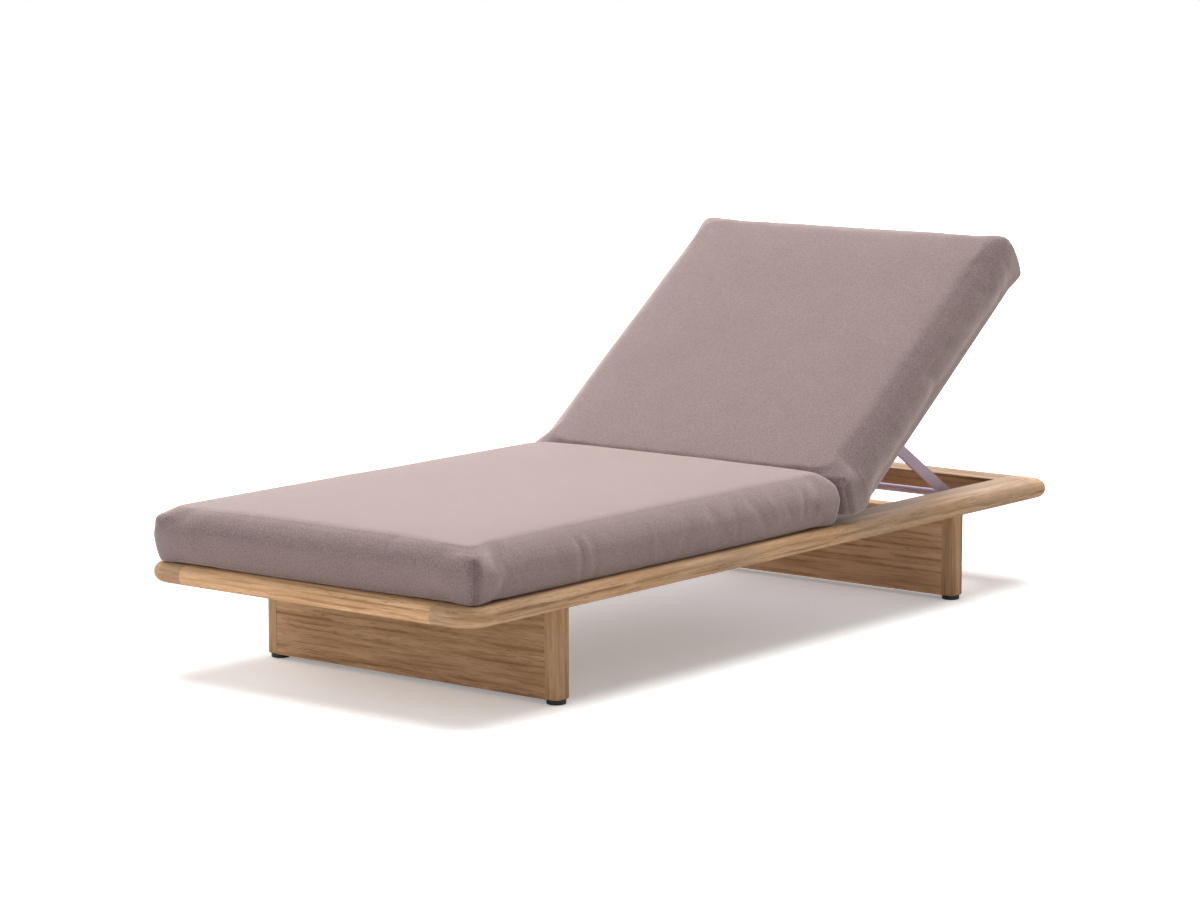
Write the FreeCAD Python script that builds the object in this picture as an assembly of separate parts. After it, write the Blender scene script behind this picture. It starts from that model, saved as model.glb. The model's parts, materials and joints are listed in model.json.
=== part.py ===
import FreeCAD, Part
import math
import os

# Sun lounger: a slatted teak ring on two slab legs, a metal backrest with a notched prop, two cushions.
# Millimetres. X runs across (right side positive), Y from the foot end to the head end, Z up.
# The origin is on the floor under the middle of the ring.

os.makedirs("parts", exist_ok=True)
V = FreeCAD.Vector

# Ring: overall size and rails
overall_length = 2000.0
overall_width = 838.0
ring_top = 231.0
ring_thickness = 38.0
side_rail_width = 102.0
end_rail_width = 93.0
plan_corner_radius = 58.0
bullnose_flat = 0.6
inner_edge_radius = 1.6
touch = 0.01

# Joinery of the ring
end_tenon_length = 45.0
end_tenon_width = 50.0
tenon_thickness = 13.0
mid_tenon_length = 28.0
mid_tenon_width = 30.0
joint_clearance = 0.2
tenon_end_gap = 1.0

# Open bay for the backrest, measured from the head end, and the cross rail at its front
bay_length = 778.0
mid_rail_width = 50.0
mid_rail_thickness = 30.0

# Seat slats and the ledgers that carry them
slat_count = 10
slat_width = 72.0
slat_thickness = 16.0
slat_edge_radius = 3.0
slat_end_clearance = 1.0
ledger_width = 20.0
ledger_height = 20.0
ledger_screw_count = 5

# Slab legs
leg_setback = 321.0
leg_side_inset = 44.0
leg_thickness = 45.0
floor_gap = 10.0
post_width = 30.0
post_edge_radius = 14.0
post_foot_radius = 3.0
panel_recess = 0.5
tongue_thickness = 15.0
tongue_length = 12.0
tongue_stop = 4.0
dowel_radius = 5.0
dowel_reach = 24.0
dowel_spacing = 22.0
dowel_inset = 12.0

# Glides
glide_radius = 19.0
glide_inset = 20.0
glide_foot_radius = 16.0
glide_edge_height = 3.5
stud_radius = 4.0
stud_length = 22.0
insert_radius = 6.0
insert_length = 24.0
stud_clearance = 0.1

# Backrest: rest angle, hinge place and metal frame
rest_angle = 36.6
hinge_gap = 33.6
hinge_drop = 26.0
tube_width = 30.0
tube_height = 12.0
tube_wall = 1.5
tube_edge_radius = 2.0
frame_side_gap = 18.0
frame_low_overhang = 8.0
frame_end_gap = 11.4
back_slat_count = 5
back_slat_width = 45.0
back_slat_thickness = 4.0
plug_depth = 12.0
plug_clearance = 0.1

# Hinge and pivot hardware
lug_thickness = 6.0
lug_radius = 13.0
hinge_pin_radius = 4.0
pin_head_radius = 7.0
pin_head_height = 4.0
pivot_radius = 3.5
pivot_head_radius = 6.5
pivot_head_height = 3.0
running_clearance = 0.05
washer_radius = 9.0
washer_thickness = 0.8
washer_gap = 0.1
bracket_thickness = 5.0
bracket_length = 50.0
bracket_height = 34.0
bracket_drop = 10.2
bracket_corner_radius = 5.0
bracket_screw_inset = 5.6
boss_radius = 9.5

# Prop: two flat bars and a round crossbar that drops into the notches of two combs
prop_pivot_share = 0.44484
prop_pivot_height = 10.0
prop_end_room = 46.4
prop_fold_ratio = 1.84
crossbar_drop = 13.0
strut_width = 26.0
strut_thickness = 6.0
crossbar_radius = 8.0
crossbar_end_gap = 2.0

# Notched combs on the side rails
comb_thickness = 8.0
comb_drop = 23.5
comb_front_margin = 15.0
comb_rear_margin = 24.0
notch_pitch = 42.0
notches_forward = 2
notches_behind = 1
notch_depth = 6.0
notch_clearance = 0.3
bar_lift = 0.5

# Rests under the flat backrest
rest_block_overlap = 16.0
rest_block_length = 27.0
rest_block_height = 21.0
rest_block_rear_gap = 12.0
rest_gap = 0.3

# Screws
screw_radius = 2.0
screw_head_radius = 3.8
screw_head_height = 2.4
rail_screw_grip = 16.0
fitting_screw_length = 24.0
slat_screw_length = 30.0
slat_screw_inset = 10.0

# Seat cushion
cushion_side_inset = 8.0
seat_front_inset = 11.0
seat_rear_inset = 16.0
seat_edge_height = 104.0
seat_crown = 8.0
cushion_gap = 0.3
cushion_corner_radius = 36.0
cushion_edge_depth = 48.0
cushion_side_pull = 3.0

# Back cushion
back_low_end = 8.0
back_length = 788.0
back_edge_height = 112.0
back_crown = 8.0
back_end_slope_share = 0.37

# Cushion section: height as a share of the edge height, inset as a share of the edge depth
cushion_edge_shares = (
    (0.0, 0.46), (0.07, 0.27), (0.18, 0.10), (0.36, 0.0), (0.56, 0.02),
    (0.74, 0.13), (0.87, 0.31), (0.96, 0.60), (1.0, 1.0),
)
# Crown: rise as a share of the crown, further inset as a share of the half width
cushion_crown_shares = ((0.55, 0.14), (1.0, 0.40))

# Worked-out places
half_length = overall_length / 2
half_width = overall_width / 2
ring_bottom = ring_top - ring_thickness
rail_inner = half_width - side_rail_width
end_inner = half_length - end_rail_width
ring_middle = ring_top - ring_thickness / 2
mid_rail_rear = half_length - bay_length
mid_rail_front = mid_rail_rear - mid_rail_width
hinge_y = mid_rail_rear + hinge_gap
hinge_height = ring_top - hinge_drop
leg_y = half_length - leg_setback
leg_half_width = half_width - leg_side_inset
post_inner = leg_half_width - post_width
glide_x = leg_half_width - glide_inset
tube_low = hinge_drop - tube_height
frame_half_width = rail_inner - frame_side_gap
frame_length = end_inner - frame_end_gap - hinge_y
prop_pivot_reach = prop_pivot_share * frame_length
prop_length = frame_length - prop_pivot_reach - prop_end_room
lug_outer = frame_half_width
lug_inner = lug_outer - lug_thickness
strut_inner = lug_outer + washer_thickness + 2 * washer_gap
strut_outer = strut_inner + strut_thickness
strut_end_radius = strut_width / 2
bracket_inner = rail_inner - bracket_thickness
bracket_base = hinge_height - bracket_drop
crossbar_height = ring_top - crossbar_drop
comb_base = crossbar_height - comb_drop
comb_inner = rail_inner - comb_thickness
crossbar_half = rail_inner - crossbar_end_gap
rest_block_reach = frame_side_gap + rest_block_overlap
cushion_half_width = half_width - cushion_side_inset
seat_rear = mid_rail_rear - seat_rear_inset
hinge_point = V(0, hinge_y, hinge_height)
axis_x = V(1, 0, 0)


def save(name, shape):
    """One file per piece or group of like pieces."""
    shape.exportStep("parts/" + name + ".step")


def box(x0, x1, y0, y1, z0, z1):
    return Part.makeBox(x1 - x0, y1 - y0, z1 - z0, V(x0, y0, z0))


def rod_x(x0, x1, y, z, radius):
    return Part.makeCylinder(radius, x1 - x0, V(x0, y, z), V(1, 0, 0))


def rod_z(x, y, z0, z1, radius):
    return Part.makeCylinder(radius, z1 - z0, V(x, y, z0), V(0, 0, 1))


def side_plate(outline, x0, x1):
    """A plate cut to an outline in the YZ plane."""
    points = [V(x0, y, z) for y, z in outline]
    face = Part.Face(Part.makePolygon(points + points[:1]))
    return face.extrude(V(x1 - x0, 0, 0))


def edges_along(shape, axis):
    """Straight edges that run along one axis, 0 for X, 1 for Y and 2 for Z."""
    found = []
    for edge in shape.Edges:
        if len(edge.Vertexes) == 2:
            run = edge.Vertexes[1].Point - edge.Vertexes[0].Point
            if abs(run[axis]) > 0.999 * run.Length:
                found.append(edge)
    return found


def mirrored(shape):
    return shape.mirror(V(0, 0, 0), V(1, 0, 0))


def both_sides(name, shape):
    """The right-hand piece and its mirror image, each in its own file."""
    save(name + "_right", shape)
    save(name + "_left", mirrored(shape))


def tilted(shape):
    """From the flat backrest to the angle at which it rests."""
    turned = shape.copy()
    turned.rotate(hinge_point, axis_x, rest_angle)
    return turned


def screw(head_point, direction, length):
    """Pan-head screw whose head is sunk flush below the head point."""
    head = Part.makeCylinder(screw_head_radius, screw_head_height, head_point, direction)
    shank = Part.makeCylinder(screw_radius, length, head_point, direction)
    return head.fuse(shank).removeSplitter()


def cut_all(shape, tools):
    return shape.cut(Part.makeCompound(tools)) if tools else shape


# Screws come first, because the wood is bored by their own solids
slat_room = mid_rail_front + end_inner
slat_gap = (slat_room - slat_count * slat_width) / (slat_count + 1)
slat_front = [-end_inner + slat_gap + i * (slat_width + slat_gap) for i in range(slat_count)]
slat_bottom = ring_top - slat_thickness
ledger_bottom = slat_bottom - ledger_height
ledger_middle = slat_bottom - ledger_height / 2
ledger_inner = rail_inner - ledger_width
ledger_step = slat_room / ledger_screw_count

slat_screws = []
for front in slat_front:
    at = V(rail_inner - slat_screw_inset, front + slat_width / 2, ring_top)
    slat_screws.append(screw(at, V(0, 0, -1), slat_screw_length))

ledger_screws = []
for i in range(ledger_screw_count):
    between = slat_front[2 * i] + slat_width + slat_gap / 2
    at = V(ledger_inner, between, ledger_middle)
    ledger_screws.append(screw(at, V(1, 0, 0), ledger_width + rail_screw_grip))

bracket_screws = []
for side in (-1, 1):
    for height in (bracket_screw_inset, bracket_height - bracket_screw_inset):
        y = hinge_y + side * (bracket_length / 2 - bracket_screw_inset)
        at = V(bracket_inner, y, bracket_base + height)
        bracket_screws.append(screw(at, V(1, 0, 0), fitting_screw_length))

# Prop geometry at rest: the pivot on the backrest, then down to the crossbar
lean = math.radians(rest_angle)
pivot_y = hinge_y + prop_pivot_reach * math.cos(lean) - prop_pivot_height * math.sin(lean)
pivot_z = hinge_height + prop_pivot_reach * math.sin(lean) + prop_pivot_height * math.cos(lean)
prop_fall = math.asin((pivot_z - crossbar_height) / prop_length)
crossbar_y = pivot_y + prop_length * math.cos(prop_fall)


def bar_place(angle):
    """Where the crossbar is when the backrest stands at an angle, in radians."""
    fall = prop_fall + (prop_fold_ratio - 1) * (angle - lean)
    y = hinge_y + prop_pivot_reach * math.cos(angle) - prop_pivot_height * math.sin(angle)
    z = hinge_height + prop_pivot_reach * math.sin(angle) + prop_pivot_height * math.cos(angle)
    return y + prop_length * math.cos(fall), z - prop_length * math.sin(fall)


def bar_height_at(y):
    """Height of the crossbar as it passes a place along the rail, by halving the angle's range."""
    low, high = 0.0, math.radians(80)
    for step in range(50):
        middle = (low + high) / 2
        if bar_place(middle)[0] > y:
            low = middle
        else:
            high = middle
    return bar_place(low)[1]


notch_places = [crossbar_y + k * notch_pitch for k in range(-notches_forward, notches_behind + 1)]
comb_front = notch_places[0] - comb_front_margin
comb_rear = notch_places[-1] + comb_rear_margin


def tooth_top(y):
    return bar_height_at(y) - crossbar_radius - bar_lift


comb_screws = []
for place in [y + notch_pitch / 2 for y in notch_places[:-1]] + [comb_rear - 2 * screw_head_radius]:
    at = V(comb_inner, place, (comb_base + tooth_top(comb_rear)) / 2)
    comb_screws.append(screw(at, V(1, 0, 0), fitting_screw_length))

rest_top = hinge_height + tube_low - rest_gap
rest_rear = end_inner - rest_block_rear_gap
rest_screws = []
for share in (0.25, 0.75):
    at = V(rail_inner - rest_block_reach, rest_rear - share * rest_block_length, rest_top - rest_block_height / 2)
    rest_screws.append(screw(at, V(1, 0, 0), rest_block_reach + rail_screw_grip))


def ring_slab():
    """Whole ring before it is divided: rounded plan, half-round outer edge, eased inner edge."""
    slab = box(-half_width, half_width, -half_length, half_length, ring_bottom, ring_top)
    slab = slab.makeFillet(plan_corner_radius, edges_along(slab, 2))
    rim = [e for e in slab.Edges if abs(e.Vertexes[0].Z - e.Vertexes[-1].Z) < touch]
    slab = slab.makeFillet((ring_thickness - bullnose_flat) / 2, rim)
    hole = box(-rail_inner, rail_inner, -end_inner, end_inner, ring_bottom, ring_top)
    ring = slab.cut(hole)
    inner = []
    for edge in ring.Edges:
        box_of = edge.BoundBox
        level = box_of.ZMax - box_of.ZMin < touch
        across = max(abs(box_of.XMin), abs(box_of.XMax)) < rail_inner + touch
        along = max(abs(box_of.YMin), abs(box_of.YMax)) < end_inner + touch
        if level and across and along:
            inner.append(edge)
    return ring.makeFillet(inner_edge_radius, inner)


def tenon(y_middle, width, length, side, grown=0.0, deeper=0.0):
    """Tenon across the joint at one side rail, or its mortise when grown."""
    thick = tenon_thickness / 2 + grown
    x0, x1 = sorted((side * rail_inner, side * (rail_inner + length + deeper)))
    return box(x0, x1, y_middle - width / 2 - grown, y_middle + width / 2 + grown,
               ring_middle - thick, ring_middle + thick)


def leg_dowels(y_middle):
    """Upright dowels from one post into the side rail above it."""
    x = leg_half_width - dowel_inset
    return [rod_z(x, y_middle + side * dowel_spacing / 2, ring_bottom - dowel_reach,
                  ring_bottom + dowel_reach, dowel_radius) for side in (-1, 1)]


def make_ring():
    ring = ring_slab()
    end_middle = half_length - end_rail_width / 2
    mid_middle = (mid_rail_front + mid_rail_rear) / 2
    side_rail = ring.common(box(rail_inner, half_width, -half_length, half_length, ring_bottom, ring_top))
    tools = [tenon(s * end_middle, end_tenon_width, end_tenon_length, 1, joint_clearance, tenon_end_gap)
             for s in (-1, 1)]
    tools.append(tenon(mid_middle, mid_tenon_width, mid_tenon_length, 1, joint_clearance, tenon_end_gap))
    tools += ledger_screws + bracket_screws + comb_screws + rest_screws
    tools += leg_dowels(-leg_y) + leg_dowels(leg_y)
    both_sides("side_rail", cut_all(side_rail, tools))

    for name, s in (("front_rail", -1), ("rear_rail", 1)):
        y0, y1 = sorted((s * end_inner, s * half_length))
        rail = ring.common(box(-rail_inner, rail_inner, y0, y1, ring_bottom, ring_top))
        for side in (-1, 1):
            rail = rail.fuse(tenon(s * end_middle, end_tenon_width, end_tenon_length, side))
        save(name, rail.removeSplitter())

    rail = box(-rail_inner, rail_inner, mid_rail_front, mid_rail_rear, ring_top - mid_rail_thickness, ring_top)
    rail = rail.makeFillet(inner_edge_radius, edges_along(rail, 0))
    for side in (-1, 1):
        rail = rail.fuse(tenon(mid_middle, mid_tenon_width, mid_tenon_length, side))
    save("mid_rail", rail.removeSplitter())


def make_seat_base():
    ledger = box(ledger_inner, rail_inner, -end_inner, mid_rail_front, ledger_bottom, slat_bottom)
    both_sides("seat_ledger", cut_all(ledger, ledger_screws + slat_screws))
    for i, front in enumerate(slat_front):
        reach = rail_inner - slat_end_clearance
        slat = box(-reach, reach, front, front + slat_width, slat_bottom, ring_top)
        slat = slat.makeFillet(slat_edge_radius, edges_along(slat, 0))
        slat = cut_all(slat, [slat_screws[i], mirrored(slat_screws[i])])
        save("seat_slat_%02d" % (i + 1), slat)
    save("slat_screws", Part.makeCompound(slat_screws + [mirrored(s) for s in slat_screws]))
    save("ledger_screws", Part.makeCompound(ledger_screws + [mirrored(s) for s in ledger_screws]))


def make_leg(name, y_middle):
    half = leg_thickness / 2
    face = half - panel_recess
    panel = box(-post_inner, post_inner, y_middle - face, y_middle + face, floor_gap, ring_bottom)
    reach = post_inner + tongue_length
    tongue_foot = floor_gap + insert_length + tongue_stop
    tongue = box(-reach, reach, y_middle - tongue_thickness / 2, y_middle + tongue_thickness / 2,
                 tongue_foot, ring_bottom)
    save(name + "_leg_panel", panel.fuse(tongue).removeSplitter())

    post = box(post_inner, leg_half_width, y_middle - half, y_middle + half, floor_gap, ring_bottom)
    outer = [e for e in edges_along(post, 2) if e.Vertexes[0].X > post_inner + touch]
    post = post.makeFillet(post_edge_radius, outer)
    foot = []
    for edge in post.Edges:
        box_of = edge.BoundBox
        if box_of.ZMax < floor_gap + touch and box_of.XMax > post_inner + touch:
            foot.append(edge)
    post = post.makeFillet(post_foot_radius, foot)
    groove = box(post_inner, post_inner + tongue_length + joint_clearance,
                 y_middle - tongue_thickness / 2 - joint_clearance,
                 y_middle + tongue_thickness / 2 + joint_clearance,
                 tongue_foot - joint_clearance, ring_bottom)
    socket = rod_z(glide_x, y_middle, floor_gap, floor_gap + insert_length, insert_radius)
    both_sides(name + "_leg_post", cut_all(post, [groove, socket] + leg_dowels(y_middle)))


def glide(y_middle):
    """Round glide with a rolled lower edge and a threaded stud."""
    profile = Part.Wire([
        Part.makeLine(V(0, 0, 0), V(glide_foot_radius, 0, 0)),
        Part.Arc(V(glide_foot_radius, 0, 0),
                 V(glide_radius - (glide_radius - glide_foot_radius) * (1 - math.sin(math.pi / 4)), 0,
                   glide_edge_height * (1 - math.cos(math.pi / 4))),
                 V(glide_radius, 0, glide_edge_height)).toShape(),
        Part.makeLine(V(glide_radius, 0, glide_edge_height), V(glide_radius, 0, floor_gap)),
        Part.makeLine(V(glide_radius, 0, floor_gap), V(0, 0, floor_gap)),
        Part.makeLine(V(0, 0, floor_gap), V(0, 0, 0)),
    ])
    foot = Part.Face(profile).revolve(V(0, 0, 0), V(0, 0, 1), 360)
    stud = Part.makeCylinder(stud_radius, stud_length, V(0, 0, floor_gap))
    whole = foot.fuse(stud)
    whole.translate(V(glide_x, y_middle, 0))
    return whole


def make_feet():
    inserts = []
    for name, y_middle in (("front", -leg_y), ("rear", leg_y)):
        both_sides("glide_" + name, glide(y_middle))
        sleeve = rod_z(glide_x, y_middle, floor_gap, floor_gap + insert_length, insert_radius)
        bore = rod_z(glide_x, y_middle, floor_gap, floor_gap + insert_length, stud_radius + stud_clearance)
        inserts.append(sleeve.cut(bore))
    save("glide_inserts", Part.makeCompound(inserts + [mirrored(s) for s in inserts]))
    dowels = leg_dowels(-leg_y) + leg_dowels(leg_y)
    save("leg_dowels", Part.makeCompound(dowels + [mirrored(s) for s in dowels]))


def tube(x0, x1, y0, y1, along):
    """Rectangular tube lying in the flat backrest, running along X (0) or Y (1)."""
    z0 = hinge_height + tube_low
    z1 = ring_top
    outer = box(x0, x1, y0, y1, z0, z1)
    outer = outer.makeFillet(tube_edge_radius, edges_along(outer, along))
    if along == 0:
        inner = box(x0, x1, y0 + tube_wall, y1 - tube_wall, z0 + tube_wall, z1 - tube_wall)
    else:
        inner = box(x0 + tube_wall, x1 - tube_wall, y0, y1, z0 + tube_wall, z1 - tube_wall)
    return outer.cut(inner)


def lug(reach, drop):
    """Lug under a side tube: straight flanks down to a round eye."""
    eye_y = hinge_y + reach
    eye_z = hinge_height + drop
    top = hinge_height + tube_low
    blade = box(lug_inner, lug_outer, eye_y - lug_radius, eye_y + lug_radius, eye_z, top)
    eye = rod_x(lug_inner, lug_outer, eye_y, eye_z, lug_radius)
    eye = eye.common(box(lug_inner, lug_outer, eye_y - lug_radius, eye_y + lug_radius, eye_z - lug_radius, top))
    return blade.fuse(eye).removeSplitter()


def make_backrest():
    tube_inner = frame_half_width - tube_width
    low = hinge_y - frame_low_overhang
    high = hinge_y + frame_length
    side_tube = tube(tube_inner, frame_half_width, low, high, 1)
    save("backrest_tube_right", tilted(side_tube))
    save("backrest_tube_left", tilted(mirrored(side_tube)))
    save("backrest_low_tube", tilted(tube(-tube_inner, tube_inner, low, low + tube_width, 0)))
    save("backrest_top_tube", tilted(tube(-tube_inner, tube_inner, high - tube_width, high, 0)))

    room = frame_length + frame_low_overhang - 2 * tube_width - back_slat_count * back_slat_width
    gap = room / (back_slat_count + 1)
    for i in range(back_slat_count):
        y0 = low + tube_width + gap + i * (back_slat_width + gap)
        slat = box(-tube_inner, tube_inner, y0, y0 + back_slat_width, ring_top - back_slat_thickness, ring_top)
        save("backrest_slat_%d" % (i + 1), tilted(slat))

    plugs = []
    fit = tube_wall + plug_clearance
    z0 = hinge_height + tube_low
    for end, sign in ((low, 1), (high, -1)):
        y0, y1 = sorted((end, end + sign * plug_depth))
        plugs.append(box(tube_inner + fit, frame_half_width - fit, y0, y1, z0 + fit, ring_top - fit))
    save("tube_plugs", tilted(Part.makeCompound(plugs + [mirrored(p) for p in plugs])))

    hinge_lug = lug(0, 0).cut(rod_x(lug_inner, lug_outer, hinge_y, hinge_height,
                                    hinge_pin_radius + running_clearance))
    save("hinge_lugs", tilted(Part.makeCompound([hinge_lug, mirrored(hinge_lug)])))
    prop_lug = lug(prop_pivot_reach, prop_pivot_height - lug_radius / 2)
    prop_lug = prop_lug.cut(rod_x(lug_inner, lug_outer, hinge_y + prop_pivot_reach,
                                  hinge_height + prop_pivot_height, pivot_radius))
    save("prop_lugs", tilted(Part.makeCompound([prop_lug, mirrored(prop_lug)])))


def ring_washer(y, z):
    """Thin washer between a lug and the piece that turns against it."""
    x0 = lug_outer + washer_gap
    outer = rod_x(x0, x0 + washer_thickness, y, z, washer_radius)
    return outer.cut(rod_x(x0, x0 + washer_thickness, y, z, hinge_pin_radius + stud_clearance))


def make_hinge():
    z0 = bracket_base
    plate = box(bracket_inner, rail_inner, hinge_y - bracket_length / 2, hinge_y + bracket_length / 2,
                z0, z0 + bracket_height)
    plate = plate.makeFillet(bracket_corner_radius, edges_along(plate, 0))
    boss = rod_x(strut_inner, bracket_inner, hinge_y, hinge_height, boss_radius)
    bore = rod_x(strut_inner, rail_inner, hinge_y, hinge_height, hinge_pin_radius)
    both_sides("hinge_bracket", cut_all(plate.fuse(boss), [bore] + bracket_screws))

    head = rod_x(lug_inner - washer_gap - pin_head_height, lug_inner - washer_gap,
                 hinge_y, hinge_height, pin_head_radius)
    shank = rod_x(lug_inner - washer_gap, rail_inner, hinge_y, hinge_height, hinge_pin_radius)
    pin = head.fuse(shank).removeSplitter()
    save("hinge_pins", Part.makeCompound([pin, mirrored(pin)]))
    washers = [ring_washer(y, z) for y, z in ((hinge_y, hinge_height), (pivot_y, pivot_z))]
    save("pivot_washers", Part.makeCompound(washers + [mirrored(w) for w in washers]))
    fittings = bracket_screws + comb_screws
    save("fitting_screws", Part.makeCompound(fittings + [mirrored(s) for s in fittings]))


def make_prop():
    bar = box(strut_inner, strut_outer, pivot_y, pivot_y + prop_length,
              pivot_z - strut_end_radius, pivot_z + strut_end_radius)
    for y in (pivot_y, pivot_y + prop_length):
        bar = bar.fuse(rod_x(strut_inner, strut_outer, y, pivot_z, strut_end_radius))
    bar = bar.removeSplitter()
    bar = bar.cut(rod_x(strut_inner, strut_outer, pivot_y, pivot_z, pivot_radius + running_clearance))
    bar = bar.cut(rod_x(strut_inner, strut_outer, pivot_y + prop_length, pivot_z, crossbar_radius))
    bar.rotate(V(0, pivot_y, pivot_z), axis_x, -math.degrees(prop_fall))
    both_sides("prop_strut", bar)
    save("prop_crossbar", rod_x(-crossbar_half, crossbar_half, crossbar_y, crossbar_height, crossbar_radius))

    head_start = strut_outer + washer_gap
    rivet = rod_x(lug_inner, head_start, pivot_y, pivot_z, pivot_radius)
    rivet = rivet.fuse(rod_x(head_start, head_start + pivot_head_height, pivot_y, pivot_z, pivot_head_radius))
    rivet = rivet.removeSplitter()
    save("prop_pivots", Part.makeCompound([rivet, mirrored(rivet)]))


def make_combs():
    outline = [(comb_front, comb_base), (comb_front, tooth_top(comb_front))]
    outline += [(y, tooth_top(y)) for y in notch_places]
    outline += [(comb_rear, tooth_top(comb_rear)), (comb_rear, comb_base)]
    comb = side_plate(outline, comb_inner, rail_inner)
    seat_radius = crossbar_radius + notch_clearance
    for y in notch_places:
        seat_middle = tooth_top(y) - notch_depth + seat_radius
        comb = comb.cut(rod_x(comb_inner, rail_inner, y, seat_middle, seat_radius))
    both_sides("notched_comb", cut_all(comb, comb_screws))


def make_rests():
    block = box(rail_inner - rest_block_reach, rail_inner, rest_rear - rest_block_length, rest_rear,
                rest_top - rest_block_height, rest_top)
    inner = [e for e in edges_along(block, 1) if e.Vertexes[0].X < rail_inner - touch]
    block = block.makeFillet(inner_edge_radius, inner)
    both_sides("backrest_rest", cut_all(block, rest_screws))
    save("rest_screws", Part.makeCompound(rest_screws + [mirrored(s) for s in rest_screws]))


def cushion_section(half, low, high, z, inset, pull):
    """Closed outline at one height: round corners and sides drawn in between them."""
    radius = max(cushion_corner_radius - inset / 2, cushion_edge_depth / 4)
    x, y0, y1 = half - inset, low + inset, high - inset
    bend = radius * (1 - math.cos(math.pi / 4))
    middle = (y0 + y1) / 2

    def arc(a, b, c):
        return Part.Arc(V(*a, z), V(*b, z), V(*c, z)).toShape()

    return Part.Wire([
        arc((x - radius, y0), (0, y0 + pull), (radius - x, y0)),
        arc((radius - x, y0), (bend - x, y0 + bend), (-x, y0 + radius)),
        arc((-x, y0 + radius), (pull - x, middle), (-x, y1 - radius)),
        arc((-x, y1 - radius), (bend - x, y1 - bend), (radius - x, y1)),
        arc((radius - x, y1), (0, y1 - pull), (x - radius, y1)),
        arc((x - radius, y1), (x - bend, y1 - bend), (x, y1 - radius)),
        arc((x, y1 - radius), (x - pull, middle), (x, y0 + radius)),
        arc((x, y0 + radius), (x - bend, y0 + bend), (x - radius, y0)),
    ])


def cushion(half, low, high, base, edge_height, crown, slope_share):
    """Crowned pad by a loft through its sections; the low end may lean back as it rises."""
    sections = []
    for height_share, inset_share in cushion_edge_shares:
        height = height_share * edge_height
        sections.append(cushion_section(half, low + slope_share * height, high, base + height,
                                        inset_share * cushion_edge_depth, cushion_side_pull))
    for rise_share, inset_share in cushion_crown_shares:
        height = edge_height + rise_share * crown
        sections.append(cushion_section(half, low + slope_share * edge_height, high, base + height,
                                        cushion_edge_depth + inset_share * half, cushion_side_pull))
    return Part.makeLoft(sections, True, True)


def make_cushions():
    base = ring_top + cushion_gap
    save("seat_cushion", cushion(cushion_half_width, seat_front_inset - half_length, seat_rear, base,
                                 seat_edge_height, seat_crown, 0))
    low = hinge_y + back_low_end
    back = cushion(cushion_half_width, low, low + back_length, base, back_edge_height, back_crown,
                   back_end_slope_share)
    save("back_cushion", tilted(back))


make_ring()
make_seat_base()
make_leg("front", -leg_y)
make_leg("rear", leg_y)
make_feet()
make_backrest()
make_hinge()
make_prop()
make_combs()
make_rests()
make_cushions()

flat_bar = bar_place(0)
print("pivot on the backrest at rest: y %.1f z %.1f" % (pivot_y, pivot_z))
print("crossbar at rest: y %.1f z %.1f" % (crossbar_y, crossbar_height))
print("prop falls %.2f degrees" % math.degrees(prop_fall))
print("crossbar with the backrest flat: y %.1f z %.1f" % flat_bar)
print("notches at y " + ", ".join("%.1f" % y for y in notch_places))
print("tooth tops at z " + ", ".join("%.2f" % tooth_top(y) for y in notch_places))
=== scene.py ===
import json
import math
import random
import bmesh
import bpy
import numpy as np
from mathutils import Matrix, Vector, noise


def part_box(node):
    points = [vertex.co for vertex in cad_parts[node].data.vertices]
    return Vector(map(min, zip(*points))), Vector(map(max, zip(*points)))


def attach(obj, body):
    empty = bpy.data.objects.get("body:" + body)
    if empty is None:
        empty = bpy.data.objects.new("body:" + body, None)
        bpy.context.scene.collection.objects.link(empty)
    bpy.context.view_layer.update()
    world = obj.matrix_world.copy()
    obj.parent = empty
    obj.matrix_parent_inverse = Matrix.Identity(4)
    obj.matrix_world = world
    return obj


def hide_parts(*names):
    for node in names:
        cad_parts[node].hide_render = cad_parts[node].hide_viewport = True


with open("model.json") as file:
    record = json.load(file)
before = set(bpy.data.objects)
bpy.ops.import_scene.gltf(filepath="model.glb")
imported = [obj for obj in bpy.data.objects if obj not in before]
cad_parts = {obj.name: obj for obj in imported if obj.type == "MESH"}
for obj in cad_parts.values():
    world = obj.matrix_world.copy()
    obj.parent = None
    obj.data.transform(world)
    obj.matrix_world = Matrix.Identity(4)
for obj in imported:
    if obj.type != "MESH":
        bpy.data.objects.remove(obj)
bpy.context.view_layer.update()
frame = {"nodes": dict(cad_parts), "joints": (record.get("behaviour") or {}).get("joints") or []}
nodes = frame["nodes"]
scene = bpy.context.scene
scene.view_settings.view_transform = "Standard"
print("frame loaded:", len(nodes), "nodes")

hinge = next(j for j in frame["joints"] if j["name"] == "backrest_hinge")
hingePoint = Vector(hinge["pos_m"])
restAngle = math.radians(-hinge["range_deg"][0])        # the backrest lies flat at the lower limit
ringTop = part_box("front_rail")[1].z
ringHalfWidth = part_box("side_rail_right")[1].x
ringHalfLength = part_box("side_rail_right")[1].y


# shader helpers

def linear(colour):         # sRGB 0-255 to the linear values that a colour socket takes
    values = [c / 255 / 12.92 if c <= 10.31 else ((c / 255 + 0.055) / 1.055) ** 2.4 for c in colour]
    return (*values, 1.0)


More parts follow.
